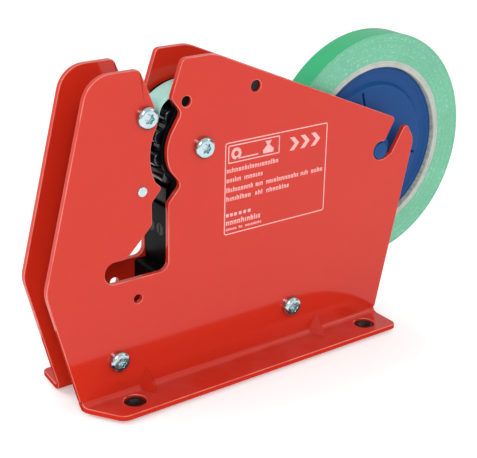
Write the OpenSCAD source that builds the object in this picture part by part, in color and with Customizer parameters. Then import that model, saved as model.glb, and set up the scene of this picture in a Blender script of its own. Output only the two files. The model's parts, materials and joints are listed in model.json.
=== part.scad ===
// Bag-neck tape sealer: two bent steel side plates, a J-shaped throat with a star wheel, and a tape
// reel hung in open hooks. X runs from the front to the rear, Y across the machine, Z up. The
// outlines are drawn with X from the front corner of the plates and Z from the underside of the
// flanges; placed() then puts the origin at the middle of the footprint, on the standing surface.

/* [Side plates] */
// Thickness of the steel sheet
plate_t = 2.5; // [2:0.1:3]
// Free space between the two plates
inner_gap = 17; // [16:0.1:18]
// Width of a foot flange, from the plate's outer face
flange_w = 16.3; // [15.5:0.1:20]
// Inside radius of the bend
bend_r = 2.5; // [2:0.1:3]
// Height of the rubber feet under the flanges
foot_rise = 1.8; // [1.5:0.1:3]

/* [Throat] */
// Centre of the star wheel, from the front corner
axle_x = 73.7; // [73.5:0.1:73.9]
// Height of the star wheel's centre
axle_z = 105.2; // [105:0.1:105.4]
// Radius of the channel's front wall round the star wheel
channel_out_r = 25.3; // [25.1:0.1:25.5]
// Radius of the channel's rear wall round the star wheel
channel_in_r = 17.4; // [17.2:0.1:17.6]
// Front side of the straight slot
slot_front_x = 49; // [48.7:0.1:49.3]
// Rear side of the straight slot
slot_rear_x = 56.8; // [56.6:0.1:57]

/* [Star wheel] */
// Number of teeth
star_teeth = 12; // [10:1:13]
// Radius over the tooth tips
star_tip_r = 21; // [20:0.1:21.2]
// Radius of the body between the teeth
star_root_r = 15.5; // [15:0.1:16]
// Thickness of a tooth
tooth_t = 6; // [5.6:0.1:6.2]
// Width of the wheel
star_w = 11.6; // [10:0.1:12]
// Direction of the first tooth, in degrees above the rear
first_tooth = 132; // [125:1:139]

/* [Reel] */
// Centre of the reel, from the front corner
reel_x = 173.3; // [173.2:0.1:173.4]
// Height of the reel's centre
reel_z = 85.2; // [85.15:0.05:85.3]
// Outer radius of the tape roll
roll_r = 53.8; // [46:0.1:54]
// Width of the tape
tape_w = 12; // [9:0.5:12]
// Inner radius of the cardboard core
core_r = 38.1; // [38:0.1:38.2]
// Wall of the cardboard core
core_wall = 3.1; // [2:0.1:4]
// Radius of the axle stubs
stub_r = 3.95; // [3.8:0.05:4]

/* [Fasteners] */
// Diameter of the frame screws
screw_d = 5; // [4.8:0.1:5]
// Diameter of their pan heads
head_d = 9.3; // [9:0.1:10]
// Height of their pan heads
head_h = 2.8; // [2.4:0.1:3.2]

/* [Hidden] */
$fn = 72;

in_y = inner_gap / 2;                 // inner face of a plate
out_y = in_y + plate_t;               // outer face of a plate
edge_y = out_y + flange_w;            // outer edge of a flange
bend_top = plate_t + bend_r;          // where the flat of the plate starts
fit = 0.05;                           // clearance of a shaft or a pin in its hole
gap = 0.3;                            // space between curved faces that pass each other
axle = [axle_x, axle_z];
reel = [reel_x, reel_z];
tower = [46.6, 122.2];                // front-tower screw
low_front = [32, 19];                 // front low screw
low_rear = [123, 19.8];               // rear low screw
screw_spots = [tower, axle, low_front, low_rear];
rivet = [44.4, 91.7];                 // pivot of the pressure arm
hood_peg = [65.5, 125.7];
guide = [100, 127];                   // guide roller
spare_hole = [41.9, 45];
sleeve_r = 4.5;                       // low spacers
tower_r = 3.5;                        // tower axle
star_axle_r = 4;
rivet_r = 1.75;
guide_pin_r = 2.45;
guide_r = 4.5;
hood_peg_r = 2.2;
foot_spots = [[35.3, 18.2], [163.1, 18.2]];
foot_hole_r = 4.8;
gusset_spots = [45.7, 138.8];
top_z = 143.4;                        // top of the rear tower
rear_z = 87.8;                        // widest height of the rear edge
front_z = 57.2;                       // height of the front corner
rear_slope = 0.21;                    // how far the rear edge leans, per millimetre of height
front_slope = 0.255;                  // the same for both front edges
rear_x = 175.3;                       // foot of the rear edge
front_corner_r = 12;
front_half = atan(front_slope);       // half the angle by which the front corner turns
front_x = front_corner_r * (1 / cos(front_half) - 1);
mid_x = (front_x + reel_x + roll_r) / 2;
blade_x = slot_rear_x + 1.9;          // front face of the blade
blade_t = 0.6;
block_x = blade_x + blade_t;          // front face of the cage behind the blade
clamp_t = 1.5;
blade_top = 88.8;
clamp_top = 81;
cheek_y = 6.3;                        // inner face of a cage cheek
cage_y = in_y - fit;                  // outer face of the cage
cheek_r = channel_in_r + 1.2;         // cheeks stand proud of the plates in the channel
hood_in_r = star_tip_r + 0.7;
hood_r = 25.1;
hood_lip = 122;                       // direction of the hood's front lip
arm_face_r = channel_out_r - 0.4;
strip_t = 0.3;
strip_half = strip_t / 2;

function unit(v) = v / norm(v);
function polar(c, r, a) = c + r * [cos(a), sin(a)];
function arc(c, r, a0, a1, n) = [for (i = [0 : n]) let (p = polar(c, r, a0 + (a1 - a0) * i / n)) [p.x, p.y, 0]];
// Points of the corner p between a and b, rounded to the radius in p.z
function corner(a, p, b) = p.z == 0 ? [[p.x, p.y]] :
    let (o = [p.x, p.y], u = unit([a.x, a.y] - o), v = unit([b.x, b.y] - o), half = acos(u * v) / 2,
        c = o + unit(u + v) * p.z / sin(half), s = o + u * p.z / tan(half) - c,
        e = o + v * p.z / tan(half) - c, a0 = atan2(s.y, s.x), raw = atan2(e.y, e.x) - a0,
        turn = raw > 180 ? raw - 360 : raw < -180 ? raw + 360 : raw, n = max(2, ceil(abs(turn) / 10)))
    [for (i = [0 : n]) polar(c, p.z, a0 + turn * i / n)];
function rounded(p) = let (n = len(p)) [for (i = [0 : n - 1]) each corner(p[(i + n - 1) % n], p[i], p[(i + 1) % n])];

// Puts a piece drawn from the front corner and the flange's underside into the part's own frame
module placed() {
    translate([-mid_x, 0, foot_rise]) children();
}

// An outline in X and Z, extruded from y0 to y1
module sheet(points, y0, y1) {
    translate([0, y1, 0]) rotate([90, 0, 0]) linear_extrude(y1 - y0) polygon(points);
}

// A round bar along Y at the point c
module bar(c, r, y0, y1, fn = 48) {
    translate([c.x, y0, c.y]) rotate([-90, 0, 0]) cylinder(h = y1 - y0, r = r, $fn = fn);
}

module tube(c, r, bore, y0, y1) {
    difference() {
        bar(c, r, y0, y1);
        bar(c, bore, y0 - 1, y1 + 1);
    }
}

// Outline of a side plate with its corners' radii: rear edge, hook, roof, throat and front edges
plate_outline = rounded(concat(
    [[rear_x, 0, 0], [rear_x + rear_slope * rear_z, rear_z, 8], [188.2, 96.7, 1.8], [179.9, 83, 1],
        [175.6, 81.1, 1.5], [168.7, 81.1, 4.4], [168.7, 89.9, 4.4], [175.3, 89.9, 1.5],
        [181.2, 100.1, 2], [79.2, top_z, 15], [63.8, top_z, 2.6], [58.3, 127.8, 2], [63.3, 121.3, 3]],
    arc(axle, channel_in_r, 150, 206, 10),
    [[63.2, 90.9, 3], [slot_rear_x, 83.9, 2.5], [slot_rear_x, 54.4, 4], [26.5, 54.4, 4.7],
        [26.5, 64, 4.7], [36.8, 64, 3], [slot_front_x, 76.2, 3], [slot_front_x, 85.9, 2], [53.9, 91.4, 1.6]],
    arc(axle, channel_out_r, 205, 150, 10),
    [[52.1, 122.5, 4], [43.9, 141.8, 3], [21.5, 141.8, 12], [0, front_z, front_corner_r],
        [front_slope * front_z, 0, 0]]));

// Outline of a flange whose front corner is at x = tip and is rounded to the radius tip_r
function flange_outline(tip, tip_r) = rounded([[13.4, in_y - 1, 0], [14, out_y, 2], [tip, edge_y, tip_r],
    [176, edge_y, 3], [176, out_y + 2, 1], [175.3, in_y - 1, 0]]);

// The far side plate: flat, bend, flange and two pressed gussets
module side_plate(tip = 15.5, tip_r = 2.5) {
    difference() {
        union() {
            intersection() {
                sheet(plate_outline, in_y, out_y);
                translate([-5, 0, bend_top]) cube([250, out_y + 1, top_z]);
            }
            intersection() {
                foot_bend();
                linear_extrude(bend_top + 1) polygon(flange_outline(tip, tip_r));
            }
            for (x = gusset_spots) gusset(x);
        }
        for (c = screw_spots) bar(c, screw_d / 2 + 0.1, in_y - 1, out_y + 1);
        bar(hood_peg, hood_peg_r + fit, in_y - 1, out_y + 1);
        bar(guide, guide_pin_r + fit, in_y - 1, out_y + 1);
        bar(spare_hole, 2, in_y - 1, out_y + 1);
        bar(rivet, rivet_r + fit, in_y - 1, out_y + 1);
        for (c = foot_spots) translate([c.x, c.y, -1]) cylinder(h = plate_t + 2, r = foot_hole_r);
    }
}

module foot_bend() {
    intersection() {
        difference() {
            translate([10, out_y + bend_r, bend_top]) rotate([0, 90, 0]) cylinder(h = 170, r = bend_top);
            translate([9, out_y + bend_r, bend_top]) rotate([0, 90, 0]) cylinder(h = 172, r = bend_r);
        }
        translate([9, in_y, 0]) cube([172, plate_t + bend_r, bend_top]);
    }
    translate([9, out_y + bend_r, 0]) cube([172, flange_w - bend_r, plate_t]);
}

// A dart pressed across the bend at x: two flat sides that meet in a slanting ridge
module gusset(x, half = 5, up = 10.2, out = 8, sunk = 0.4) {
    translate([x, out_y, plate_t]) polyhedron(
        [[0, -sunk, up], [0, out, -sunk], [-half, -sunk, -sunk], [half, -sunk, -sunk]],
        [[0, 2, 1], [0, 1, 3], [0, 3, 2], [1, 2, 3]]);
}

module near_side_plate() {
    color("#dd4f40") placed() mirror([0, 1, 0]) side_plate(24.9, 6);
}

module far_side_plate() {
    color("#dd4f40") placed() side_plate();
}

// A pan-head screw that points down, with the seat of its head at the origin and a six-lobe recess
module pan_screw(length = 8.5, side_h = 1.2, recess = 1.7, lobe_at = 1.5, lobe_r = 0.5) {
    round_r = head_h - side_h;
    flat_r = head_d / 2 - round_r;
    difference() {
        union() {
            cylinder(h = side_h, r = head_d / 2);
            cylinder(h = head_h, r = flat_r);
            intersection() {
                translate([0, 0, side_h]) rotate_extrude() translate([flat_r, 0]) circle(round_r);
                cylinder(h = head_h, r = head_d / 2 + 1);
            }
            translate([0, 0, -length]) cylinder(h = length + 0.5, r = screw_d / 2 - fit);
        }
        translate([0, 0, head_h - recess]) {
            cylinder(h = recess + 1, r = lobe_at, $fn = 32);
            for (a = [0 : 60 : 300]) rotate([0, 0, a]) translate([lobe_at, 0, 0])
                cylinder(h = recess + 1, r = lobe_r, $fn = 24);
        }
    }
}

module near_screws() {
    color("#c9d3d8") placed() for (c = screw_spots)
        translate([c.x, -out_y, c.y]) rotate([90, 30, 0]) pan_screw();
}

module far_screws() {
    color("#c9d3d8") placed() for (c = screw_spots)
        translate([c.x, out_y, c.y]) rotate([-90, 30, 0]) pan_screw();
}

module front_spacer() {
    color("#b9bfc2") placed() tube(low_front, sleeve_r, screw_d / 2, -in_y, in_y);
}

module rear_spacer() {
    color("#b9bfc2") placed() tube(low_rear, sleeve_r, screw_d / 2, -in_y, in_y);
}

module tower_axle() {
    color("#b9bfc2") placed() tube(tower, tower_r, screw_d / 2, -in_y, in_y);
}

module neck_roller() {
    color("#2a2c2e") placed() tube(tower, 5.8, tower_r + fit, -5.2, 5.2);
}

module star_axle() {
    color("#b9bfc2") placed() tube(axle, star_axle_r, screw_d / 2, -in_y, in_y);
}

// Teeth with round tips, filleted into the body between them
function tooth_point(a, u, v, r) = [axle.x + u * cos(a) - v * sin(a), axle.y + u * sin(a) + v * cos(a), r];
tooth_foot = sqrt(star_root_r * star_root_r - tooth_t * tooth_t / 4);
tip_round = tooth_t / 2 - 0.1;
star_outline = rounded([for (i = [0 : star_teeth - 1]) let (a = first_tooth + i * 360 / star_teeth) each [
    tooth_point(a, tooth_foot, -tooth_t / 2, 0.7), tooth_point(a, star_tip_r, -tooth_t / 2, tip_round),
    tooth_point(a, star_tip_r, tooth_t / 2, tip_round), tooth_point(a, tooth_foot, tooth_t / 2, 0.7),
    tooth_point(a + 180 / star_teeth, star_root_r, 0, 0)]]);

module star_wheel() {
    color("#16181a") placed() difference() {
        sheet(star_outline, -star_w / 2, star_w / 2);
        bar(axle, star_axle_r + fit, -in_y, in_y);
    }
}

// Cheek beside the star wheel, with the hood's outline over its top
cheek_outline = rounded(concat(
    arc(axle, hood_r, hood_lip, -90, 30),
    [[block_x, 80.1, 0], [block_x, 85.3, 1], [61.7, 91, 3]],
    arc(axle, cheek_r, 206, 150, 8),
    [[61.9, 121.3, 3]]));
hood_outline = rounded(concat(arc(axle, hood_r, hood_lip, 40, 14), arc(axle, hood_in_r, 40, hood_lip, 14)));
block_outline = rounded([[51.8, 41, 2], [92, 41, 2], [92, 82.5, 3], [block_x + 3, 82.5, 1],
    [block_x, 80.5, 0.5], [block_x, 53.6, 0], [51.8, 53.6, 1.5]]);
arm_outline = rounded([[84, 127.5, 0], [99, 131.9, 0], [105, 127, 2], [97.5, 108, 2], [84, 110, 0]]);
leg_outline = rounded([[80, 50, 0], [91, 50, 0], [129, 24, 0], [123, 13, 0], [80, 41, 0]]);

// The far half of the black moulding: cheek, hood, block behind the slot and a leg to the rear spacer
module cage_half() {
    difference() {
        union() {
            sheet(cheek_outline, cheek_y, cage_y);
            sheet(arm_outline, cheek_y, cage_y);
            bar(guide, 4.9, cheek_y, cage_y);
            sheet(hood_outline, 0, cage_y);
            sheet(block_outline, 0, cage_y);
            sheet(leg_outline, 3, cage_y);
            bar(low_rear, 8, 3, cage_y);
            bar(hood_peg, hood_peg_r, cage_y - 1, out_y - 1.2);
        }
        bar(axle, star_axle_r + fit, -1, in_y + 1);
        bar(guide, guide_pin_r + fit, -1, in_y + 1);
        bar(low_rear, sleeve_r + fit, -1, in_y + 1);
        translate([block_x - 1, 3.4, 70]) rotate([0, 90, 0]) cylinder(h = 9, r = 1.5, $fn = 24);
    }
}

module far_cage_half() {
    color("#1b1d1f") placed() cage_half();
}

module near_cage_half() {
    color("#1b1d1f") placed() mirror([0, 1, 0]) cage_half();
}

blade_half = 6;
clamp_half = 8;
saw_pitch = 1.2;
saw_outline = concat([[blade_half, 62], [blade_half, blade_top - 1]],
    [for (i = [0 : 2 * blade_half / saw_pitch - 1]) each let (y = blade_half - i * saw_pitch)
        [[y - saw_pitch / 2, blade_top], [y - saw_pitch, blade_top - 1]]],
    [[-blade_half, 62]]);

// Saw-toothed blade that stands in front of the cage block
module knife_blade() {
    color("#aab2b6") placed() difference() {
        translate([blade_x, 0, 0]) rotate([90, 0, 90]) linear_extrude(blade_t) polygon(saw_outline);
        for (y = [-3.4, 3.4])
            translate([blade_x - 1, y, 70]) rotate([0, 90, 0]) cylinder(h = 3, r = 1.5 + fit, $fn = 24);
    }
}

module blade_clamp() {
    color("#1b1d1f") placed() difference() {
        translate([blade_x - clamp_t, -clamp_half, 53.7]) cube([clamp_t, 2 * clamp_half, clamp_top - 53.7]);
        for (y = [-3.4, 3.4]) translate([blade_x - clamp_t, y, 70]) rotate([0, 90, 0]) {
            translate([0, 0, -1]) cylinder(h = 4, r = 1.5 + fit, $fn = 24);
            translate([0, 0, -0.1]) cylinder(h = 1.3, r1 = 2.9, r2 = 1.6, $fn = 24);
        }
    }
}

module blade_screws() {
    color("#2b2d2f") placed() for (y = [-3.4, 3.4])
        translate([blade_x - clamp_t + 0.05, y, 70]) rotate([0, 90, 0]) difference() {
            union() {
                cylinder(h = 9, r = 1.5 - fit, $fn = 24);
                cylinder(h = 1.15, r1 = 2.7, r2 = 1.5, $fn = 24);
            }
            translate([-2, -0.25, -0.1]) cube([4, 0.5, 0.6]);
        }
}

arm_body_outline = rounded(concat([[46.2, 114.3, 1.5], [42.6, 98, 3], [40, 90, 3], [48.6, 90, 2]],
    arc(axle, arm_face_r, 203, 159, 8)));
finger_outline = rounded([[44.8, 106, 0], [46, 112.5, 0.5], [tower.x - tower_r - gap, 117, 1],
    [tower.x - tower_r - gap, 125, 1.2], [39.9, 125, 1.2], [39.9, 112, 4], [43.6, 102, 0]]);

// Spring-loaded arm with its face on the channel's front wall and fingers that stop on the tower axle
module pressure_arm() {
    color("#3a3d40") placed() difference() {
        union() {
            sheet(arm_body_outline, -5.4, 5.4);
            bar(rivet, 4.6, -7.6, 7.6);
            for (y = [-7.4, 5.6]) sheet(finger_outline, y, y + 1.8);
            for (y = [-7.4, 5.3]) sheet([[44, 101], [49.5, 101], [49.5, 110], [44.5, 110]], y, y + 2.1);
        }
        bar(rivet, 6.2, -2.8, 2.8);
        bar(rivet, rivet_r + 0.07, -9, 9);
    }
}

module arm_rivet() {
    color("#c9d3d8") placed() {
        bar(rivet, rivet_r, -out_y - 0.4, out_y + 0.4, 32);
        for (y = [-out_y - 0.5, out_y]) bar(rivet, rivet_r + 0.35, y, y + 0.5, 32);
    }
}

// Middle line of the torsion spring: a straight leg, close turns round the rivet and a second leg
spring_turns = 4;
spring_coil_r = 3.2;
spring_wire_r = 0.45;
spring_pitch = 1;
spring_steps = 20;                    // points in one turn
function spring_point(a) = [-spring_coil_r * cos(a), (a / 360 - spring_turns / 2) * spring_pitch,
    spring_coil_r * sin(a)];
spring_line = concat([spring_point(0) - [0, 0, 8]],
    [for (i = [0 : spring_turns * spring_steps]) spring_point(i * 360 / spring_steps)],
    [spring_point(360 * spring_turns) + [0, 0, 9]]);

// A round wire swept along the points of a line that never runs along Y
module wire(line, r, sides = 8) {
    n = len(line) - 1;
    rings = [for (i = [0 : n]) let (t = unit(line[min(i + 1, n)] - line[max(i - 1, 0)]),
        u = unit(cross(t, [0, 1, 0])), v = cross(u, t))
        each [for (k = [0 : sides - 1]) line[i] + r * (u * cos(k * 360 / sides) + v * sin(k * 360 / sides))]];
    polyhedron(rings, concat([[for (k = [sides - 1 : -1 : 0]) k]],
        [for (i = [0 : n - 1], k = [0 : sides - 1]) let (a = i * sides + k, b = i * sides + (k + 1) % sides)
            [a, b, b + sides, a + sides]],
        [[for (k = [0 : sides - 1]) n * sides + k]]));
}

module arm_spring() {
    color("#9aa1a5") placed() translate([rivet.x, 0, rivet.y]) wire(spring_line, spring_wire_r);
}

module guide_pin() {
    color("#3a3d40") placed() bar(guide, guide_pin_r, -out_y + 1.2, out_y - 1.2);
}

module guide_roller() {
    color("#2a2c2e") placed() tube(guide, guide_r, guide_pin_r + fit, -6, 6);
}

// Press-in rubber foot with its plug in the flange's hole
module rubber_foot(disc_r = 6.2, plug_r = 4.4, edge = 0.5) {
    difference() {
        union() {
            translate([0, 0, -foot_rise]) cylinder(h = edge, r1 = disc_r - edge, r2 = disc_r);
            translate([0, 0, edge - foot_rise]) cylinder(h = foot_rise - edge, r = disc_r);
            translate([0, 0, -0.5]) cylinder(h = 2.2, r = plug_r);
        }
        translate([0, 0, 2.6]) sphere(r = 2.2, $fn = 48);
    }
}

module rubber_feet() {
    color("#1d1f20") placed() for (c = foot_spots) for (side = [-1, 1])
        translate([c.x, side * c.y, 0]) rubber_foot();
}

hub_r = core_r - 0.1;
hub_profile = [[0, 0], [hub_r, 0], [hub_r, 3.8], [hub_r - 1.9, 3.8], [hub_r - 2.9, 2.8], [31, 2.8],
    [29.5, 4.6], [7.4, 4.6], [7.2, in_y - gap], [stub_r, in_y - gap], [stub_r, out_y - 0.5],
    [stub_r - 0.4, out_y - 0.1], [0, out_y - 0.1]];

// Dished half of the reel hub with its axle stub
module hub_half(side) {
    translate([reel.x, 0, reel.y]) rotate([-90 * side, 0, 0])
        rotate_extrude($fn = 96) polygon(hub_profile);
}

module near_hub_half() {
    color("#24548f") placed() hub_half(-1);
}

module far_hub_half() {
    color("#24548f") placed() hub_half(1);
}

module tape_core() {
    color("#a9b2a8") placed() tube(reel, core_r + core_wall, core_r, -tape_w / 2 + 0.1, tape_w / 2 - 0.1);
}

module tape_roll() {
    color("#3cb97c") placed() tube(reel, roll_r, core_r + core_wall, -tape_w / 2, tape_w / 2);
}

// Middle line of the free tape: off the roll, round the guide roller, over the hood, into the throat
strip_roll_r = roll_r + gap + strip_half;
strip_guide_r = guide_r + gap + strip_half;
strip_hood_r = hood_r + fit + strip_half;
guide_to_reel = reel - guide;
guide_to_axle = axle - guide;
leave_a = atan2(guide_to_reel.y, guide_to_reel.x)
    + acos((strip_guide_r + strip_roll_r) / norm(guide_to_reel));
meet_a = atan2(guide_to_axle.y, guide_to_axle.x) + 360
    - acos((strip_guide_r - strip_hood_r) / norm(guide_to_axle));
droop_a = 127;                        // where the tape leaves the hood
droop_r = 7;
droop_c = polar(axle, strip_hood_r - droop_r, droop_a);
droop_end = 168;
tape_line = concat([polar(reel, strip_roll_r, leave_a + 180)],
    [for (i = [0 : 8]) polar(guide, strip_guide_r, leave_a + (meet_a - leave_a) * i / 8)],
    [for (i = [0 : 8]) polar(axle, strip_hood_r, meet_a + (droop_a - meet_a) * i / 8)],
    [for (i = [1 : 6]) polar(droop_c, droop_r, droop_a + (droop_end - droop_a) * i / 6)],
    [polar(droop_c, droop_r, droop_end) + 4 * [cos(droop_end + 90), sin(droop_end + 90)]]);

function side_step(line, i) = let (a = line[max(i - 1, 0)], b = line[min(i + 1, len(line) - 1)],
    d = unit(b - a)) [-d.y, d.x];

// Free length of tape between the roll and the throat
module tape_strip() {
    n = len(tape_line) - 1;
    color("#9fe0c0") placed() sheet(concat(
        [for (i = [0 : n]) tape_line[i] + strip_half * side_step(tape_line, i)],
        [for (i = [n : -1 : 0]) tape_line[i] - strip_half * side_step(tape_line, i)]),
        -tape_w / 2, tape_w / 2);
}

near_side_plate();
far_side_plate();
near_screws();
far_screws();
front_spacer();
rear_spacer();
tower_axle();
neck_roller();
star_axle();
star_wheel();
near_cage_half();
far_cage_half();
knife_blade();
blade_clamp();
blade_screws();
pressure_arm();
arm_rivet();
arm_spring();
guide_pin();
guide_roller();
rubber_feet();
near_hub_half();
far_hub_half();
tape_core();
tape_roll();
tape_strip();
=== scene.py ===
import json
import math
import random
import bmesh
import bpy
from mathutils import Matrix, Quaternion, Vector

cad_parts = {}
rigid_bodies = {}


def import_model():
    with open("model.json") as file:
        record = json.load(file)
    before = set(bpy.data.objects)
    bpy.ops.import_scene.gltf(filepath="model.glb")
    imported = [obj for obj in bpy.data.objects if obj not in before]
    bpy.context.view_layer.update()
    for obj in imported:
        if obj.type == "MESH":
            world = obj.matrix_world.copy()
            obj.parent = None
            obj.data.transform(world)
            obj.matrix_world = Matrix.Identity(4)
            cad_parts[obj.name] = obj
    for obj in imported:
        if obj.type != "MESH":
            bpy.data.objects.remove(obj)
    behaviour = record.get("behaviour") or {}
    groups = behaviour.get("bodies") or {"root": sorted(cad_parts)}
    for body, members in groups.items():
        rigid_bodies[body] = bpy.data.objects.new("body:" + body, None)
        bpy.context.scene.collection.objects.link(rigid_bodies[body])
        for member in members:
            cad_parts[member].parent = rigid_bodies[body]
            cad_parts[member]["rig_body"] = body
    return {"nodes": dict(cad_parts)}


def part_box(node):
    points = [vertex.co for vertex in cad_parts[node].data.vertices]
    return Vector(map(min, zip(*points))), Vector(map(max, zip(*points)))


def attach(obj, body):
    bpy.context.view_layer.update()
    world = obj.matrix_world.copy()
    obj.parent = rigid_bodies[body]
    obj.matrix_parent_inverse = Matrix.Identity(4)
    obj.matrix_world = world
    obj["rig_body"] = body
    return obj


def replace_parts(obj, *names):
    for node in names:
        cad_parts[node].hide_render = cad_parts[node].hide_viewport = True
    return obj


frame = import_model()
random.seed(23)
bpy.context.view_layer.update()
mm = 0.001
acrossY = Vector((0, 1, 0))  # every shaft of the machine lies along Y
print("frame loaded")


def centreOf(node):
    low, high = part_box(node)
    return (low + high) / 2


def linked(thing):
    bpy.context.scene.collection.objects.link(thing)
    return thing


# Camera, light and floor

view = {
    "place": Vector((-296.3, -383.5, 259.0)) * mm,
    "turn": -36.44,  # degrees round the machine from its near side
    "rise": 22.57,  # degrees above the table
    "roll": 1.25,
    "lens": 88,
}


def addCamera():
    turn, rise = math.radians(view["turn"]), math.radians(view["rise"])
    ahead = Vector((-math.sin(turn) * math.cos(rise), math.cos(turn) * math.cos(rise), -math.sin(rise)))
    data = bpy.data.cameras.new("mainCamera")
    data.lens, data.sensor_width = view["lens"], 36
    data.clip_start, data.clip_end = 0.01, 20
    camera = linked(bpy.data.objects.new("mainCamera", data))
    camera.rotation_mode = "QUATERNION"
    camera.location = view["place"]
    roll = Quaternion((0, 0, 1), math.radians(view["roll"]))
    camera.rotation_quaternion = ahead.to_track_quat("-Z", "Y") @ roll
    bpy.context.scene.camera = camera


softboxes = {
    "key": {"place": (-0.55, -0.95, 0.85), "size": (0.42, 0.42), "power": 6.5},
    "rim": {"place": (-0.75, 0.35, 0.75), "size": (0.5, 0.25), "power": 3.0},
    "fill": {"place": (0.95, -0.75, 0.55), "size": (0.6, 0.6), "power": 1.6},
}
studio = {"world": 0.72, "floorGlow": 0.3, "floorSize": 3.0}


def addLights():
    aim = Vector((0, 0, 0.07))
    for name, box in softboxes.items():
        data = bpy.data.lights.new(name, "AREA")
        data.shape = "RECTANGLE"
        data.size, data.size_y = box["size"]
        data.energy = box["power"]
        lamp = linked(bpy.data.objects.new(name, data))
        lamp.location = box["place"]
        lamp.rotation_euler = (aim - lamp.location).to_track_quat("-Z", "Y").to_euler()
    world = bpy.data.worlds.new("paleRoom")
    world.use_nodes = True
    world.node_tree.nodes["Background"].inputs["Color"].default_value = (1, 1, 1, 1)
    world.node_tree.nodes["Background"].inputs["Strength"].default_value = studio["world"]
    bpy.context.scene.world = world
    bpy.context.scene.view_settings.view_transform = "Standard"


# Small tools for node trees

def addNode(tree, kind, inputs=None, **settings):
    node = tree.nodes.new(kind)
    for name, value in settings.items():
        setattr(node, name, value)
    for name, value in (inputs or {}).items():
        if isinstance(value, bpy.types.NodeSocket):
            tree.links.new(value, node.inputs[name])
        else:
            node.inputs[name].default_value = value
    return node


def mixColours(tree, factor, first, second, blend="MIX"):
    node = tree.nodes.new("ShaderNodeMix")
    node.data_type, node.blend_type = "RGBA", blend
    for index, value in ((0, factor), (6, first), (7, second)):  # factor and the two colours
        if isinstance(value, bpy.types.NodeSocket):
            tree.links.new(value, node.inputs[index])
        else:
            node.inputs[index].default_value = value
    return node.outputs[2]


def calculate(tree, operation, *values):
    node = tree.nodes.new("ShaderNodeMath")
    node.operation = operation
    for index, value in enumerate(values):
        if isinstance(value, bpy.types.NodeSocket):
            tree.links.new(value, node.inputs[index])
        else:
            node.inputs[index].default_value = value
    return node.outputs[0]


def remap(tree, value, fromLow, fromHigh, toLow, toHigh):
    inputs = {"Value": value, "From Min": fromLow, "From Max": fromHigh, "To Min": toLow, "To Max": toHigh}
    return addNode(tree, "ShaderNodeMapRange", inputs).outputs["Result"]


def startGroup(name, inputs, outputs):
    group = bpy.data.node_groups.new(name, "ShaderNodeTree")
    for label, kind, value in inputs:
        socket = group.interface.new_socket(label, in_out="INPUT", socket_type="NodeSocket" + kind)
        socket.default_value = value
    for label, kind in outputs:
        group.interface.new_socket(label, in_out="OUTPUT", socket_type="NodeSocket" + kind)
    return group, group.nodes.new("NodeGroupInput").outputs, group.nodes.new("NodeGroupOutput").inputs


# Effects that several finishes share

def buildMottle():  # slow drift of a colour's value, with a finer grain over it
    group, given, result = startGroup("mottle",
        [("Colour", "Color", (1, 1, 1, 1)), ("Scale", "Float", 40.0), ("Amount", "Float", 0.05)],
        [("Colour", "Color")])
    place = addNode(group, "ShaderNodeTexCoord").outputs["Object"]
    slow = addNode(group, "ShaderNodeTexNoise", {"Vector": place, "Scale": given["Scale"], "Detail": 3.0})
    fineScale = calculate(group, "MULTIPLY", given["Scale"], 14.0)
    fine = addNode(group, "ShaderNodeTexNoise", {"Vector": place, "Scale": fineScale, "Detail": 2.0})
    both = calculate(group, "MULTIPLY_ADD", fine.outputs["Fac"], 0.35, slow.outputs["Fac"])
    drift = calculate(group, "SUBTRACT", both, 0.675)  # the middle of the two noises
    value = calculate(group, "MULTIPLY_ADD", drift, calculate(group, "MULTIPLY", given["Amount"], 4.0), 1.0)
    shifted = addNode(group, "ShaderNodeHueSaturation", {"Color": given["Colour"], "Value": value})
    group.links.new(shifted.outputs["Color"], result["Colour"])
    return group


def buildPeel():  # fine bump of sprayed paint, moulded plastic or rubber
    group, given, result = startGroup("peel",
        [("Scale", "Float", 700.0), ("Height", "Float", 0.000004)], [("Normal", "Vector")])
    place = addNode(group, "ShaderNodeTexCoord").outputs["Object"]
    noise = addNode(group, "ShaderNodeTexNoise", {"Vector": place, "Scale": given["Scale"], "Detail": 2.0})
    bump = addNode(group, "ShaderNodeBump",
        {"Height": noise.outputs["Fac"], "Distance": given["Height"], "Strength": 1.0})
    group.links.new(bump.outputs["Normal"], result["Normal"])
    return group


def buildEdgeSheenWear():  # mask of rounded edges for a painted edge highlight, together with a worn finish there
    group, given, result = startGroup("edgeSheenWear",
        [("Amount", "Float", 0.5), ("Scale", "Float", 160.0)], [("Mask", "Float")])
    edge = addNode(group, "ShaderNodeAttribute", attribute_name="edgeMask").outputs["Fac"]
    place = addNode(group, "ShaderNodeTexCoord").outputs["Object"]
    noise = addNode(group, "ShaderNodeTexNoise", {"Vector": place, "Scale": given["Scale"], "Detail": 4.0})
    broken = remap(group, noise.outputs["Fac"], 0.35, 0.6, 0.45, 1.0)
    mask = calculate(group, "MULTIPLY", calculate(group, "MULTIPLY", edge, broken), given["Amount"])
    group.links.new(mask, result["Mask"])
    return group


def buildDust():  # thin dust that settles on faces that look up
    group, given, result = startGroup("dust",
        [("Amount", "Float", 0.1), ("Scale", "Float", 90.0)], [("Mask", "Float")])
    facing = addNode(group, "ShaderNodeNewGeometry").outputs["Normal"]
    up = addNode(group, "ShaderNodeSeparateXYZ", {"Vector": facing}).outputs["Z"]
    level = remap(group, up, 0.5, 1.0, 0.0, 1.0)
    place = addNode(group, "ShaderNodeTexCoord").outputs["Object"]
    noise = addNode(group, "ShaderNodeTexNoise", {"Vector": place, "Scale": given["Scale"], "Detail": 6.0})
    patchy = remap(group, noise.outputs["Fac"], 0.4, 0.7, 0.2, 1.0)
    mask = calculate(group, "MULTIPLY", calculate(group, "MULTIPLY", level, patchy), given["Amount"])
    group.links.new(mask, result["Mask"])
    return group


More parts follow.
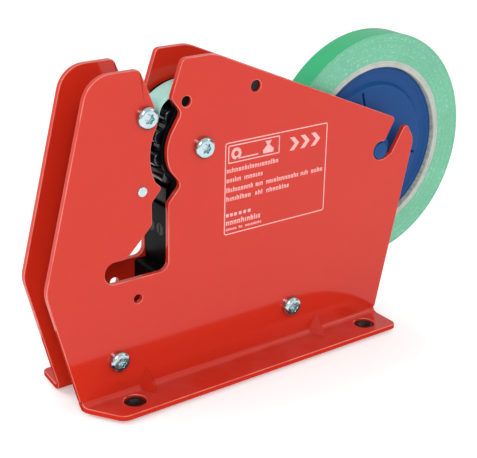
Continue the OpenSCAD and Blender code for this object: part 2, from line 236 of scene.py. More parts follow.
def buildRings():  # lines at even distance from an axis, from a vector that is centred on that axis
    group, given, result = startGroup("rings",
        [("Vector", "Vector", (0, 0, 0)), ("Scale", "Float", 2500.0)],
        [("Fac", "Float"), ("Slow", "Float")])
    away = addNode(group, "ShaderNodeVectorMath", {0: given["Vector"]}, operation="LENGTH").outputs["Value"]
    spread = calculate(group, "MULTIPLY", away, given["Scale"])
    fine = addNode(group, "ShaderNodeTexNoise", {"W": spread, "Scale": 1.0, "Detail": 2.0},
        noise_dimensions="1D")
    coarse = addNode(group, "ShaderNodeTexNoise", {"W": calculate(group, "MULTIPLY", spread, 0.22),
        "Scale": 1.0, "Detail": 2.0}, noise_dimensions="1D")
    group.links.new(fine.outputs["Fac"], result["Fac"])
    group.links.new(coarse.outputs["Fac"], result["Slow"])
    return group


def buildBrushed():  # long fine scratches along one direction of the given vector
    group, given, result = startGroup("brushed",
        [("Vector", "Vector", (0, 0, 0)), ("Scale", "Float", 1.0), ("Height", "Float", 0.000003)],
        [("Fac", "Float"), ("Normal", "Vector")])
    noise = addNode(group, "ShaderNodeTexNoise",
        {"Vector": given["Vector"], "Scale": given["Scale"], "Detail": 4.0})
    bump = addNode(group, "ShaderNodeBump",
        {"Height": noise.outputs["Fac"], "Distance": given["Height"], "Strength": 1.0})
    group.links.new(noise.outputs["Fac"], result["Fac"])
    group.links.new(bump.outputs["Normal"], result["Normal"])
    return group


effects = {"mottle": buildMottle(), "peel": buildPeel(), "edgeSheenWear": buildEdgeSheenWear(),
    "dust": buildDust(), "rings": buildRings(), "brushed": buildBrushed()}


def addEffect(tree, name, **inputs):
    node = tree.nodes.new("ShaderNodeGroup")
    node.node_tree = effects[name]
    for label, value in inputs.items():
        if isinstance(value, bpy.types.NodeSocket):
            tree.links.new(value, node.inputs[label])
        else:
            node.inputs[label].default_value = value
    return node.outputs


def newFinish(name, **sockets):
    material = bpy.data.materials.new(name)
    material.use_nodes = True
    tree = material.node_tree
    shader = tree.nodes["Principled BSDF"]
    for label, value in sockets.items():
        shader.inputs[label.replace("_", " ")].default_value = value
    return material, tree, shader.inputs


def centred(tree, centre, scale=(1, 1, 1)):  # Object coordinates moved so that centre is their zero
    place = addNode(tree, "ShaderNodeTexCoord").outputs["Object"]
    back = [-part * size for part, size in zip(centre, scale)]
    return addNode(tree, "ShaderNodeMapping",
        {"Vector": place, "Location": back, "Scale": scale}).outputs["Vector"]


def grey(value):
    return (value, value, value, 1)


# Finishes

paint = {"red": (0.548, 0.024, 0.0095, 1), "litThinEdge": (0.88, 0.36, 0.30, 1), "dust": (0.6, 0.5, 0.48, 1)}


def makeRedPaint():
    material, tree, shader = newFinish("redPaint", IOR=1.5, Specular_IOR_Level=0.38)
    colour = addEffect(tree, "mottle", Colour=paint["red"], Scale=9.0, Amount=0.03)["Colour"]
    # rounded edges mixed toward pale pink: a painted highlight that stands for edge glints, with some real
    # paint wear
    sheenWear = addEffect(tree, "edgeSheenWear", Amount=0.5, Scale=120.0)["Mask"]
    colour = mixColours(tree, sheenWear, colour, paint["litThinEdge"])
    dusty = addEffect(tree, "dust", Amount=0.05, Scale=70.0)["Mask"]
    colour = mixColours(tree, dusty, colour, paint["dust"])
    tree.links.new(colour, shader["Base Color"])
    tree.links.new(calculate(tree, "MULTIPLY_ADD", dusty, 1.2, 0.09), shader["Roughness"])
    tree.links.new(addEffect(tree, "peel", Scale=620.0, Height=0.0000035)["Normal"], shader["Normal"])
    return material


def makeMetal(name, dark, light, rough, stretch, height=0.000002):
    material, tree, shader = newFinish(name, Metallic=1.0)
    place = addNode(tree, "ShaderNodeTexCoord").outputs["Object"]
    along = addNode(tree, "ShaderNodeMapping", {"Vector": place, "Scale": stretch}).outputs["Vector"]
    lines = addEffect(tree, "brushed", Vector=along, Scale=1.0, Height=height)
    colour = mixColours(tree, lines["Fac"], dark, light)
    sheenWear = addEffect(tree, "edgeSheenWear", Amount=0.5, Scale=300.0)["Mask"]
    tree.links.new(mixColours(tree, sheenWear, colour, light), shader["Base Color"])
    tree.links.new(remap(tree, lines["Fac"], 0.3, 0.7, rough * 0.7, rough * 1.3), shader["Roughness"])
    tree.links.new(lines["Normal"], shader["Normal"])
    return material


def makePlastic(name, colour, rough, peelScale, peelHeight, drift=0.05, pale=None, specular=0.5):
    material, tree, shader = newFinish(name, IOR=1.48, Specular_IOR_Level=specular)
    body = addEffect(tree, "mottle", Colour=colour, Scale=30.0, Amount=drift)["Colour"]
    sheenWear = addEffect(tree, "edgeSheenWear", Amount=0.25, Scale=240.0)["Mask"]
    worn = pale or tuple(2.2 * part + 0.004 for part in colour[:3]) + (1,)
    tree.links.new(mixColours(tree, sheenWear, body, worn), shader["Base Color"])
    dusty = addEffect(tree, "dust", Amount=0.08, Scale=120.0)["Mask"]
    tree.links.new(calculate(tree, "ADD", dusty, rough), shader["Roughness"])
    tree.links.new(addEffect(tree, "peel", Scale=peelScale, Height=peelHeight)["Normal"], shader["Normal"])
    return material


plainColours = {"boardDark": (0.34, 0.37, 0.33, 1), "boardLight": (0.50, 0.53, 0.48, 1),
    "ink": (0.84, 0.40, 0.40, 1), "card": (0.03, 0.012, 0.01, 1)}
tapeColours = {"film": (0.018, 0.385, 0.155, 1), "side": (0.115, 0.410, 0.240, 1),
    "pale": (0.185, 0.500, 0.345, 1), "streak": (0.33, 0.60, 0.50, 1), "glue": (0.38, 0.70, 0.63, 1),
    "shade": (0.13, 0.29, 0.24, 1)}


tapeShadeBand = (0.1245, 0.1215)  # heights between which the free tape leaves the hood; below them its colour turns to painted shade


def makeTapeFilm():  # the coloured back of the tape, seen on the rim of the roll
    material, tree, shader = newFinish("tapeFilm", IOR=1.46)
    colour = addEffect(tree, "mottle", Colour=tapeColours["film"], Scale=60.0, Amount=0.06)["Colour"]
    tree.links.new(colour, shader["Base Color"])
    place = addNode(tree, "ShaderNodeTexCoord").outputs["Object"]
    bands = addNode(tree, "ShaderNodeMapping", {"Vector": place, "Scale": (30, 900, 30)}).outputs["Vector"]
    lines = addEffect(tree, "brushed", Vector=bands, Scale=1.0, Height=0.000004)
    tree.links.new(remap(tree, lines["Fac"], 0.3, 0.7, 0.28, 0.42), shader["Roughness"])
    tree.links.new(lines["Normal"], shader["Normal"])
    return material


def makeTapeSide():  # edges of the wound layers, paler where a layer stands proud
    material, tree, shader = newFinish("tapeSide", IOR=1.46)
    round_ = centred(tree, centreOf("tape_roll"), (1, 0, 1))
    lines = addEffect(tree, "rings", Vector=round_, Scale=2600.0)
    colour = mixColours(tree, remap(tree, lines["Fac"], 0.35, 0.65, 0.0, 0.6), tapeColours["side"],
        tapeColours["pale"])
    place = addNode(tree, "ShaderNodeTexCoord").outputs["Object"]
    grain = addNode(tree, "ShaderNodeTexNoise", {"Vector": place, "Scale": 900.0, "Detail": 3.0})
    speckle = remap(tree, grain.outputs["Fac"], 0.52, 0.68, 0.0, 0.55)
    proud = calculate(tree, "MULTIPLY", speckle, remap(tree, lines["Slow"], 0.45, 0.6, 0.25, 1.0))
    colour = mixColours(tree, proud, colour, tapeColours["streak"])
    colour = addEffect(tree, "mottle", Colour=colour, Scale=55.0, Amount=0.05)["Colour"]
    tree.links.new(colour, shader["Base Color"])
    shader["Roughness"].default_value = 0.5
    bump = addNode(tree, "ShaderNodeBump", {"Height": lines["Fac"], "Distance": 0.00002, "Strength": 0.6})
    tree.links.new(bump.outputs["Normal"], shader["Normal"])
    return material


def makeTapeGlue():  # the sticky face of the free tape, with cross wrinkles and painted shade where it falls free of the hood
    material, tree, shader = newFinish("tapeGlue", IOR=1.46)
    colour = addEffect(tree, "mottle", Colour=tapeColours["glue"], Scale=150.0, Amount=0.08)["Colour"]
    place = addNode(tree, "ShaderNodeTexCoord").outputs["Object"]
    height = addNode(tree, "ShaderNodeSeparateXYZ", {"Vector": place}).outputs["Z"]
    # painted shade: the tape below the hood is mixed toward a darker green
    hangShade = remap(tree, height, *tapeShadeBand, 0.0, 0.85)
    tree.links.new(mixColours(tree, hangShade, colour, tapeColours["shade"]), shader["Base Color"])
    creases = addNode(tree, "ShaderNodeMapping", {"Vector": place, "Scale": (260, 60, 260)})
    lines = addEffect(tree, "brushed", Vector=creases.outputs["Vector"], Scale=1.0, Height=0.00006)
    tree.links.new(remap(tree, lines["Fac"], 0.3, 0.7, 0.22, 0.4), shader["Roughness"])
    tree.links.new(lines["Normal"], shader["Normal"])
    return material


def makeBoard():  # grey cardboard, wound in layers
    material, tree, shader = newFinish("board", Roughness=0.85)
    round_ = centred(tree, centreOf("tape_core"), (1, 0, 1))
    layers = addEffect(tree, "rings", Vector=round_, Scale=3800.0)["Fac"]
    colour = mixColours(tree, remap(tree, layers, 0.35, 0.65, 0, 1), plainColours["boardDark"],
        plainColours["boardLight"])
    colour = addEffect(tree, "mottle", Colour=colour, Scale=220.0, Amount=0.12)["Colour"]
    tree.links.new(colour, shader["Base Color"])
    tree.links.new(addEffect(tree, "peel", Scale=2600.0, Height=0.00003)["Normal"], shader["Normal"])
    return material


def makeInk():  # silk-screened print that lets some of the red through
    material, tree, shader = newFinish("screenInk", Roughness=0.35)
    colour = addEffect(tree, "mottle", Colour=plainColours["ink"], Scale=320.0, Amount=0.06)["Colour"]
    tree.links.new(colour, shader["Base Color"])
    tree.links.new(addEffect(tree, "peel", Scale=1500.0, Height=0.000006)["Normal"], shader["Normal"])
    return material


def makeFloor():
    material, tree, shader = newFinish("paleFloor", Roughness=0.6)
    colour = addEffect(tree, "mottle", Colour=grey(0.86), Scale=3.0, Amount=0.004)["Colour"]
    tree.links.new(colour, shader["Base Color"])
    shader["Emission Color"].default_value = (1, 1, 1, 1)
    shader["Emission Strength"].default_value = studio["floorGlow"]
    return material


finishes = {
    "redPaint": makeRedPaint(),
    "zinc": makeMetal("zinc", (0.36, 0.50, 0.53, 1), (0.66, 0.78, 0.81, 1), 0.16, (420, 420, 420)),
    "steel": makeMetal("steel", grey(0.32), grey(0.56), 0.26, (900, 60, 900)),
    # painted shade: the blade's steel is near-black to stand for the shade it sits in inside the throat
    "shadedBladeSteel": makeMetal("shadedBladeSteel", grey(0.012), grey(0.035), 0.3, (300, 40, 1500)),
    "springSteel": makeMetal("springSteel", grey(0.22), grey(0.42), 0.22, (700, 700, 700)),
    "blackOxide": makeMetal("blackOxide", grey(0.012), grey(0.04), 0.35, (600, 600, 600)),
    "armBlack": makePlastic("armBlack", (0.003, 0.005, 0.006, 1), 0.26, 500.0, 0.000006, specular=0.22),
    "darkPlastic": makePlastic("darkPlastic", (0.005, 0.007, 0.008, 1), 0.34, 900.0, 0.000006),
    "blackGloss": makePlastic("blackGloss", (0.003, 0.006, 0.008, 1), 0.14, 420.0, 0.000003, specular=0.7),
    "blackMoulding": makePlastic("blackMoulding", (0.0012, 0.002, 0.0024, 1), 0.38, 1500.0, 0.000012,
        specular=0.05),
    "rubber": makePlastic("rubber", (0.003, 0.006, 0.007, 1), 0.2, 1200.0, 0.000008, specular=0.4),
    "bluePlastic": makePlastic("bluePlastic", (0.006, 0.056, 0.205, 1), 0.40, 800.0, 0.000006,
        drift=0.04, pale=(0.02, 0.15, 0.30, 1), specular=0.18),
    "tapeFilm": makeTapeFilm(),
    "tapeSide": makeTapeSide(),
    "tapeGlue": makeTapeGlue(),
    "board": makeBoard(),
    "ink": makeInk(),
}
print("finishes made:", len(finishes))


def addStudio():
    shape = bmesh.new()
    bmesh.ops.create_grid(shape, x_segments=1, y_segments=1, size=studio["floorSize"])
    mesh = bpy.data.meshes.new("floor")
    shape.to_mesh(mesh)
    shape.free()
    mesh.materials.append(makeFloor())
    floor = linked(bpy.data.objects.new("floor", mesh))
    addCards()


# Black cards that only reflections see, which paint dark reflections. The one on the floor keeps the foot
# of each plate deep red, the standing ones give the metal and the black parts a dark side.
cards = {
    "floorCard": {"place": (-28, 0, 0.3), "half": (100, 51), "corner": 22, "normal": (0, 0, 1)},
    "rightCard": {"place": (800, -420, 160), "half": (300, 260), "corner": 20, "normal": (-0.85, 0.5, 0)},
    "leftCard": {"place": (-760, 60, 120), "half": (260, 150), "corner": 20, "normal": (1, -0.1, 0)},
}


def addCards():
    material, tree, shader = newFinish("cardBlack", Roughness=1.0)
    colour = addEffect(tree, "mottle", Colour=plainColours["card"], Scale=20.0, Amount=0.05)["Colour"]
    tree.links.new(colour, shader["Base Color"])
    for name, card in cards.items():
        shape = bmesh.new()
        turn = Vector(card["normal"]).to_track_quat("Z", "Y").to_matrix().to_4x4()
        across, along = (half * mm for half in card["half"])
        place = Matrix.Translation(Vector(card["place"]) * mm)
        bmesh.ops.create_grid(shape, x_segments=1, y_segments=1, size=1,
            matrix=place @ turn @ Matrix.Diagonal((across, along, 1, 1)))
        bmesh.ops.bevel(shape, geom=shape.verts[:], offset=card["corner"] * mm, offset_type="OFFSET",
            segments=8, profile=0.5, affect="VERTICES", material=-1)
        mesh = bpy.data.meshes.new(name)
        shape.to_mesh(mesh)
        shape.free()
        mesh.materials.append(material)
        thing = linked(bpy.data.objects.new(name, mesh))
        thing.visible_camera = thing.visible_diffuse = False
        thing.visible_shadow = thing.visible_transmission = False


addCamera()
addLights()
addStudio()
print("studio ready")


# Small tools for meshes

def cadCopy(node, flat=0.5, cuts=()):
    # a merged copy of a node with its flat triangles joined, but for the seams cut across it at these x
    shape = bmesh.new()
    shape.from_mesh(frame["nodes"][node].data)
    bmesh.ops.remove_doubles(shape, verts=shape.verts, dist=0.001 * mm)
    for spot in cuts:
        made = bmesh.ops.bisect_plane(shape, geom=shape.verts[:] + shape.edges[:] + shape.faces[:],
            dist=0.002 * mm, plane_co=(spot * mm, 0, 0), plane_no=(1, 0, 0))
        for part in made["geom_cut"]:
            if isinstance(part, bmesh.types.BMEdge):
                part.seam = True
    bmesh.ops.dissolve_limit(shape, angle_limit=math.radians(flat), verts=shape.verts, edges=shape.edges,
        delimit={"SEAM"})
    return shape


def spinProfile(shape, points, centre, axis=acrossY, steps=96, closed=False):
    # points are distances from the axis and along it, in mm
    side = Vector((1, 0, 0))
    spots = [shape.verts.new(centre + side * away * mm + axis * along * mm) for away, along in points]
    lines = [shape.edges.new(pair) for pair in zip(spots, spots[1:])]
    if closed:
        lines.append(shape.edges.new((spots[-1], spots[0])))
    bmesh.ops.spin(shape, geom=spots + lines, cent=centre, axis=axis, angle=math.tau, steps=steps,
        use_merge=True)
    bmesh.ops.remove_doubles(shape, verts=shape.verts, dist=0.001 * mm)
    bmesh.ops.recalc_face_normals(shape, faces=shape.faces)


def softenEdges(shape, width, angle=50, segments=3, wanted=None):
    # rounds the convex edges and marks them for a painted edge highlight and a worn finish
    shape.normal_update()
    edges = [edge for edge in shape.edges if len(edge.link_faces) == 2
        and edge.calc_face_angle_signed() > math.radians(angle) and (wanted is None or wanted(edge))]
    made = bmesh.ops.bevel(shape, geom=edges, offset=width * mm, offset_type="OFFSET", segments=segments,
        profile=0.5, affect="EDGES", clamp_overlap=False, loop_slide=True, material=-1)
    layer = shape.loops.layers.float_color.get("edgeMask") or shape.loops.layers.float_color.new("edgeMask")
    rounded = set(made["faces"])
    for face in shape.faces:
        for loop in face.loops:
            ridge = face in rounded and all(other in rounded for other in loop.vert.link_faces)
            loop[layer] = (1, 1, 1, 1) if ridge else (0, 0, 0, 1)


def addPiece(name, shape, finish, node, sharp=38, also=()):
    bmesh.ops.remove_doubles(shape, verts=shape.verts, dist=0.0002 * mm)
    mesh = bpy.data.meshes.new(name)
    shape.to_mesh(mesh)
    shape.free()
    mesh.shade_smooth()
    mesh.set_sharp_from_angle(angle=math.radians(sharp))
    for one in (finish,) + tuple(also):
        mesh.materials.append(finishes[one])
    piece = linked(bpy.data.objects.new(name, mesh))
    piece.modifiers.new("evenShading", "WEIGHTED_NORMAL").keep_sharp = True
    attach(piece, frame["nodes"][node]["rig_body"])
    return piece


# Side plates and their print

plate = {
    "round": 0.45, "gussetSpots": (-68.04, 25.06), "gussetReach": (5.4, 24, 15.5),
    "gussetFoot": 3.5, "crease": 0.1,  # radians; a fold sharper than this on a dart stays crisp
    # through the middle of each hole, so that no face has a hole in it
    "cuts": (-81.742, -78.442, -71.842, -69.342, -67.142, -48.242, -40.042, -13.742, 9.258, 49.358),
}


def makePlates():
    halfX, halfY, top = (part * mm for part in plate["gussetReach"])

    def onOutline(edge):
        middle = (edge.verts[0].co + edge.verts[1].co) / 2
        near = min(abs(middle.x - spot * mm) for spot in plate["gussetSpots"])
        return not (near < halfX and abs(middle.y) < halfY and plate["gussetFoot"] * mm < middle.z < top)

    for node, name in (("near_side_plate", "nearSidePlate"), ("far_side_plate", "farSidePlate")):
        shape = cadCopy(node, cuts=plate["cuts"])
        softenEdges(shape, plate["round"], angle=55, wanted=onOutline)
        piece = addPiece(name, shape, "redPaint", node)
        # the folds of each pressed dart stay crisp, so that the plate beside them shades flat
        shape = bmesh.new()
        shape.from_mesh(piece.data)
        for edge in shape.edges:
            run = (edge.verts[1].co - edge.verts[0].co).normalized()
            alongPlate = abs(run.x) > 0.98  # a line of the bend, which stays smooth
            if not alongPlate and not onOutline(edge) and edge.calc_face_angle(0) > plate["crease"]:
                edge.smooth = False
        shape.to_mesh(piece.data)
        shape.free()
        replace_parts(piece, node)


label = {
    "face": -11.0, "frame": (-29.0, 26.2, 65.1, 106.6), "line": 0.5, "corner": 1.2, "film": 0.05,
    "panel": (-27.4, -0.3, 97.2, 105.2),
    "rows": [  # height of a row, height of its marks, and the ends of each run of marks
        (94.2, 2.2, [(-28.0, -0.6)]),
        (89.9, 2.2, [(-28.0, -20.6), (-18.8, -9.2)]),
        (85.5, 2.2, [(-28.0, -14.2), (-12.7, -8.6), (-7.0, 10.6), (12.0, 16.4), (17.9, 24.2)]),
        (81.5, 2.2, [(-28.0, -14.4), (-12.8, -8.4), (-6.8, 5.4)]),
        (70.7, 2.5, [(-28.0, -8.8)]),
        (67.6, 1.3, [(-28.0, -22.4), (-21.2, -18.8), (-17.8, -9.0)]),
    ],
    "pips": (74.0, 1.5, [-27.3, -25.2, -23.1, -20.6, -18.2, -15.8]),
    "chevrons": (5.2, 100.1, 3, 5.9),
    "roll": (-23.2, 101.2, 2.6, 1.2),
    "bag": (-6.4, 101.2),
}


def makeLabel():
    outer = label["face"] * mm
    shape = bmesh.new()

    def block(x0, x1, z0, z1, corner=0.0):
        place = Matrix.Translation(((x0 + x1) / 2 * mm, outer, (z0 + z1) / 2 * mm))
        stretch = Matrix.Diagonal(((x1 - x0) * mm, (z1 - z0) * mm, 1, 1))
        made = bmesh.ops.create_grid(shape, x_segments=1, y_segments=1, size=0.5,
            matrix=place @ Matrix.Rotation(math.pi / 2, 4, "X") @ stretch)
        if corner:
            bmesh.ops.bevel(shape, geom=made["verts"], offset=corner * mm, offset_type="OFFSET",
                segments=4, profile=0.5, affect="VERTICES", material=-1)

    def polygon(points):
        return shape.faces.new([shape.verts.new((x * mm, outer, z * mm)) for x, z in points])

    def outline(box, corner):
        before = set(shape.faces)
        block(*box, corner)
        fresh = [face for face in shape.faces if face not in before]
        shape.normal_update()
        bmesh.ops.inset_region(shape, faces=fresh, thickness=label["line"] * mm, use_boundary=True,
            use_even_offset=True)
        bmesh.ops.delete(shape, geom=fresh, context="FACES")

    def fillRun(start, end, low, tall):  # plain marks that stand for lines of print
        x = start
        while x < end - 0.3 * tall:
            wide = min(random.choice((0.22, 0.5, 0.6, 0.6)) * tall, end - x)
            high = tall * random.choice((0.72, 0.72, 0.72, 1.0))
            stroke = 0.2 * tall
            if wide < 0.4 * tall:
                block(x, x + wide, low, low + high)
            else:
                block(x, x + stroke, low, low + high)
                block(x + wide - stroke, x + wide, low, low + 0.72 * tall)
                block(x + stroke, x + wide - stroke, low + 0.5 * tall, low + 0.72 * tall)
            x += wide + 0.2 * tall

    outline(label["frame"], label["corner"])
    outline(label["panel"], 0.6)
    for height, tall, runs in label["rows"]:
        for start, end in runs:
            fillRun(start, end, height - tall / 2, tall)
    height, tall, spots = label["pips"]
    for spot in spots:
        block(spot - tall / 2, spot + tall / 2, height - tall / 2, height + tall / 2, 0.35)
    start, height, count, pitch = label["chevrons"]
    for x in (start + pitch * step for step in range(count)):
        polygon([(x, height - 3), (x + 2.4, height - 3), (x + 5.2, height), (x + 2.4, height + 3),
            (x, height + 3), (x + 2.8, height)])
    x, height, outerR, innerR = label["roll"]
    upright = Matrix.Translation((x * mm, outer, height * mm)) @ Matrix.Rotation(math.pi / 2, 4, "X")
    rims = [bmesh.ops.create_circle(shape, segments=28, radius=r * mm, matrix=upright)["verts"]
        for r in (outerR, innerR)]
    rimEdges = {edge for rim in rims for spot in rim for edge in spot.link_edges}
    bmesh.ops.bridge_loops(shape, edges=list(rimEdges))
    block(x, x + 11.5, height - outerR, height - outerR + 0.6)
    x, height = label["bag"]
    polygon([(x - 2.6, height - 2.7), (x + 2.6, height - 2.7), (x + 2.9, height - 1.2),
        (x + 0.6, height + 0.9), (x + 1.7, height + 2.7), (x - 1.7, height + 2.7),
        (x - 0.6, height + 0.9), (x - 2.9, height - 1.2)])
    bmesh.ops.remove_doubles(shape, verts=shape.verts, dist=0.0005 * mm)
    for face in shape.faces:
        face.normal_update()
        if face.normal.y > 0:
            face.normal_flip()
    grown = bmesh.ops.extrude_face_region(shape, geom=shape.faces[:])["geom"]
    fronts = [part for part in grown if isinstance(part, bmesh.types.BMVert)]
    bmesh.ops.translate(shape, verts=fronts, vec=(0, -label["film"] * mm, 0))
    bmesh.ops.recalc_face_normals(shape, faces=shape.faces)
    addPiece("printedLabel", shape, "ink", "near_side_plate", sharp=30)


# Fasteners and turned steel parts

turned = {"tubes": 0.3, "rollers": 0.5, "rivet": 0.18}  # rounding of each kind

screw = {
    "spots": ((-67.142, 124.0), (-40.042, 107.0), (-81.742, 20.8), (9.258, 21.6)), "face": 11.0,
    "radius": 4.65, "side": 1.2, "height": 2.8, "shank": 2.45, "length": 8.5,
    "recess": 1.85, "deep": 1.6, "lobe": 0.16, "steps": 72,
}


def makeScrews():
    bend = screw["height"] - screw["side"]
    flat = screw["radius"] - bend
    side = [(flat + bend * math.sin(turn), screw["side"] + bend * math.cos(turn))
        for turn in map(math.radians, range(0, 91, 10))]
    top, floor = screw["height"], screw["height"] - screw["deep"]
    recess = screw["recess"]
    profile = ([(0, floor - 0.25), (1.0, floor), (recess - 0.12, floor), (recess, top - 0.22),
        (recess + 0.2, top)] + side + [(screw["radius"], 0.02), (screw["shank"], 0.02),
        (screw["shank"], -screw["length"] + 0.4), (screw["shank"] - 0.4, -screw["length"]),
        (0, -screw["length"])])
    for node, name, way in (("near_screws", "nearScrews", -1), ("far_screws", "farScrews", 1)):
        shape = bmesh.new()
        for x, z in screw["spots"]:
            middle = Vector((x, way * screw["face"], z)) * mm
            one = bmesh.new()
            spinProfile(one, profile, middle, axis=acrossY * way, steps=screw["steps"])
            for spot in one.verts:  # six lobes round the recess
                out = spot.co - middle
                depth = out.y * way
                flatOut = Vector((out.x, 0, out.z))
                if depth > 0.5 * mm and 0.5 * mm < flatOut.length < (recess + 0.3) * mm:
                    lobes = screw["lobe"] * math.cos(6 * math.atan2(out.z, out.x) + 1.2)
                    spot.co += flatOut * lobes
            piece = bpy.data.meshes.new("oneScrew")
            one.to_mesh(piece)
            one.free()
            shape.from_mesh(piece)
            bpy.data.meshes.remove(piece)
        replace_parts(addPiece(name, shape, "zinc", node, sharp=42), node)


def makeFasteners():
    rest = (("front_spacer", "frontSpacer", "steel", "bright_steel", "tubes"),
        ("rear_spacer", "rearSpacer", "steel", "bright_steel", "tubes"),
        ("tower_axle", "towerAxle", "steel", "bright_steel", "tubes"),
        ("star_axle", "starAxle", "steel", "bright_steel", "tubes"),
        ("neck_roller", "neckRoller", "darkPlastic", "dark_plastic", "rollers"),
        ("guide_roller", "guideRoller", "darkPlastic", "dark_plastic", "rollers"),
        ("guide_pin", "guidePin", "blackOxide", "black_oxide", "tubes"),
        ("arm_rivet", "armRivet", "zinc", "zinc", "rivet"))
    for node, name, finish, slot, size in rest:
        shape = cadCopy(node)
        softenEdges(shape, turned[size], angle=50)
        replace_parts(addPiece(name, shape, finish, node), node)


# Throat: star wheel, cage, blade and arm

throat = {"star": 0.7, "cage": 0.35, "blade": 0.08, "clamp": 0.25, "blade_screws": 0.1, "arm": 0.45}


def makeThroat():
    rest = (("star_wheel", "starWheel", "blackGloss", "black_gloss", "star"),
        ("near_cage_half", "nearCageHalf", "blackMoulding", "black_moulding", "cage"),
        ("far_cage_half", "farCageHalf", "blackMoulding", "black_moulding", "cage"),
        ("knife_blade", "knifeBlade", "shadedBladeSteel", "blade_steel", "blade"),
        ("blade_clamp", "bladeClamp", "blackMoulding", "black_moulding", "clamp"),
        ("blade_screws", "bladeScrews", "blackOxide", "black_oxide", "blade_screws"),
        ("pressure_arm", "pressureArm", "armBlack", "dark_plastic", "arm"))
    for node, name, finish, slot, size in rest:
        shape = cadCopy(node)
        softenEdges(shape, throat[size], angle=45)
        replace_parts(addPiece(name, shape, finish, node), node)


spring = {"coil": 3.2, "wire": 0.45, "turns": 4, "pitch": 1.0, "steps": 28, "down": 8, "up": 9}


def makeSpring():
    shape = bmesh.new()
    rivet = centreOf("arm_rivet")
    start = rivet + Vector((-spring["coil"], -spring["turns"] * spring["pitch"] / 2, 0)) * mm
    ring = bmesh.ops.create_circle(shape, segments=12, radius=spring["wire"] * mm, cap_ends=True,
        matrix=Matrix.Translation(start))["verts"]
    cap = ring[0].link_faces[0]
    steps = spring["turns"] * spring["steps"]
    grown = bmesh.ops.spin(shape, geom=[cap] + ring + cap.edges[:], cent=rivet, axis=acrossY,
        angle=spring["turns"] * math.tau, steps=steps,
        dvec=acrossY * spring["turns"] * spring["pitch"] * mm / steps, use_duplicate=False)
    last = [part for part in grown["geom_last"] if isinstance(part, bmesh.types.BMFace)]
    for faces, drop in ((last, spring["up"]), ([cap], -spring["down"])):
        made = bmesh.ops.extrude_face_region(shape, geom=faces)["geom"]
        moved = [part for part in made if isinstance(part, bmesh.types.BMVert)]
        bmesh.ops.translate(shape, verts=moved, vec=(0, 0, drop * mm))
        bmesh.ops.delete(shape, geom=faces, context="FACES_ONLY")
    bmesh.ops.recalc_face_normals(shape, faces=shape.faces)
    piece = addPiece("armSpring", shape, "springSteel", "arm_spring", sharp=60)
    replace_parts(piece, "arm_spring")


# Rubber feet

foot = {
    "disc": 6.2, "rise": 1.8, "round": 0.2,
    "profile": [(0, 0.45), (1.2, 0.6), (2.1, 1.1), (2.6, 1.75), (3.3, 1.85), (4.0, 1.8), (4.4, 1.4),
        (4.4, 0), (6.2, 0), (6.2, -1.3), (5.7, -1.8), (4.6, -1.8), (4.3, -1.5), (3.6, -1.5),
        (3.3, -1.8), (0, -1.8)],
}


def makeFeet():
    low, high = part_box("rubber_feet")
    reach = foot["disc"] * mm
    shape = bmesh.new()
    for x in (low.x + reach, high.x - reach):
        for y in (low.y + reach, high.y - reach):
            middle = Vector((x, y, foot["rise"] * mm))
            spinProfile(shape, foot["profile"], middle, axis=Vector((0, 0, 1)), steps=48)
    softenEdges(shape, foot["round"], angle=30)
    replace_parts(addPiece("rubberFeet", shape, "rubber", "rubber_feet"), "rubber_feet")


# Reel: hub halves, core and roll

hub = {
    "profile": [(0, 0.02), (38, 0.02), (38, 3.8), (36.1, 3.8), (35.1, 2.8), (31, 2.8), (29.5, 4.6),
        (28.0, 4.6), (21.0, 4.6), (9.4, 4.6), (8.6, 5.0), (7.4, 5.4), (7.2, 8.2), (3.95, 8.2), (3.95, 10.5),
        (3.55, 10.9), (0, 10.9)],
    "slits": (106, 226, 346), "slitWide": 0.8, "slitDeep": 1.6, "slitFrom": 21.0, "slitTo": 28.5,
    "dish": 4.6, "round": 0.3, "steps": 120,
}


def makeHub():
    for node, name, side in (("near_hub_half", "nearHubHalf", -1), ("far_hub_half", "farHubHalf", 1)):
        middle = centreOf("tape_roll")
        middle.y = 0
        shape = bmesh.new()
        spinProfile(shape, [(away, along * side) for away, along in hub["profile"]], middle,
            steps=hub["steps"])
        cutSlits(shape, middle, side)
        softenEdges(shape, hub["round"], angle=25)
        bmesh.ops.recalc_face_normals(shape, faces=shape.faces)
        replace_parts(addPiece(name, shape, "bluePlastic", node, sharp=50), node)


def cutSlits(shape, middle, side):  # narrow moulded slits in the dish, three to a hub half
    level = (hub["dish"] * side) * mm
    for angle in hub["slits"]:
        out = Vector((math.cos(math.radians(angle)), 0, math.sin(math.radians(angle))))
        across = out.cross(acrossY)

        def onDish(face):
            away = face.calc_center_median() - middle
            return (abs(away.y - level) < 0.01 * mm and away.dot(out) > 0
                and hub["slitFrom"] * mm < away.length < hub["slitTo"] * mm)

        for offset in (-0.5, 0.5):
            near = [face for face in shape.faces if onDish(face)]
            geom = near + list({edge for face in near for edge in face.edges}) \
                + list({spot for face in near for spot in face.verts})
            bmesh.ops.bisect_plane(shape, geom=geom, dist=0.0001 * mm,
                plane_co=middle + across * offset * hub["slitWide"] * mm, plane_no=across)
        inside = [face for face in shape.faces if onDish(face)
            and abs((face.calc_center_median() - middle).dot(across)) < hub["slitWide"] * mm / 2]
        made = bmesh.ops.extrude_face_region(shape, geom=inside)["geom"]
        moved = [part for part in made if isinstance(part, bmesh.types.BMVert)]
        bmesh.ops.translate(shape, verts=moved, vec=(0, -side * hub["slitDeep"] * mm, 0))
        bmesh.ops.delete(shape, geom=inside, context="FACES")


roll = {"inner": 41.2, "outer": 53.8, "half": 6.0, "layers": 34, "uneven": 0.12, "steps": 160}
core = {"inner": 38.1, "outer": 41.2, "half": 5.9, "ragged": 0.35, "steps": 180}


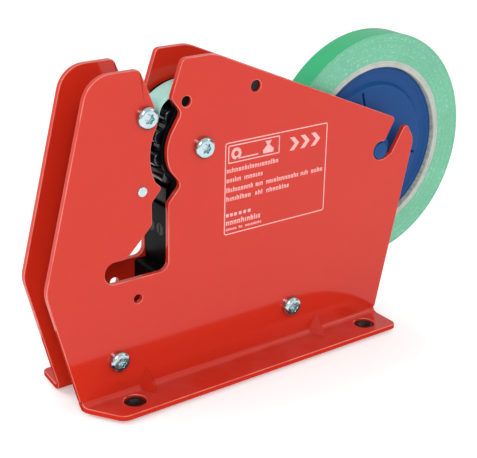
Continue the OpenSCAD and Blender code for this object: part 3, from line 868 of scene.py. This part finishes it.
def makeRoll():
    middle = centreOf("tape_roll")
    shape = bmesh.new()
    step = (roll["outer"] - roll["inner"]) / roll["layers"]
    edges = [(roll["inner"] + step * index, roll["half"] - random.random() * roll["uneven"])
        for index in range(roll["layers"] + 1)]
    edges[-1] = (roll["outer"] - 0.12, roll["half"])
    rim = [(roll["outer"], roll["half"] - 0.1), (roll["outer"], -roll["half"] + 0.1)]
    back = [(away, -along) for away, along in reversed(edges)]
    spinProfile(shape, edges + rim + back, middle, steps=roll["steps"], closed=True)
    for face in shape.faces:
        away = face.calc_center_median() - middle
        face.material_index = 0 if Vector((away.x, 0, away.z)).length > (roll["outer"] - 0.1) * mm else 1
    piece = addPiece("tapeRoll", shape, "tapeFilm", "tape_roll", sharp=30, also=("tapeSide",))
    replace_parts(piece, "tape_roll")


def makeCore():
    middle = centreOf("tape_core")
    shape = bmesh.new()
    half, inner, outer = core["half"], core["inner"], core["outer"]
    front = [(inner, half - 0.5), (inner + 0.25, half - 0.12), (inner + 0.7, half),
        (inner + 1.2, half - 0.1), (inner + 2.0, half), (outer, half - 0.05)]
    spinProfile(shape, front + [(away, -along) for away, along in reversed(front)], middle,
        steps=core["steps"], closed=True)
    for spot in shape.verts:  # frayed inner edge, mostly over one stretch
        away = spot.co - middle
        flatAway = Vector((away.x, 0, away.z))
        if flatAway.length < (inner + 0.3) * mm and abs(away.y) > (half - 0.6) * mm:
            angle = math.degrees(math.atan2(away.z, away.x))
            rough = core["ragged"] if -80 < angle < 10 else 0.1
            spot.co += flatAway.normalized() * rough * random.random() * mm
            spot.co.y -= math.copysign(rough * 0.6 * random.random() * mm, away.y)
    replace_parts(addPiece("tapeCore", shape, "board", "tape_core", sharp=50), "tape_core")


strip = {"cuts": 8, "across": 11}  # only edges longer than this run across the tape


def makeStrip():
    shape = cadCopy("tape_strip")
    crossing = [edge for edge in shape.edges
        if abs(edge.verts[0].co.y - edge.verts[1].co.y) > strip["across"] * mm]
    bmesh.ops.subdivide_edges(shape, edges=crossing, cuts=strip["cuts"], use_grid_fill=True)
    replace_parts(addPiece("tapeStrip", shape, "tapeGlue", "tape_strip", sharp=50), "tape_strip")


makePlates()
makeLabel()
print("plates and label done")
makeScrews()
makeFasteners()
makeThroat()
makeSpring()
print("fasteners and throat done")
makeFeet()
makeHub()
makeRoll()
makeCore()
makeStrip()
print("feet, reel and tape done")
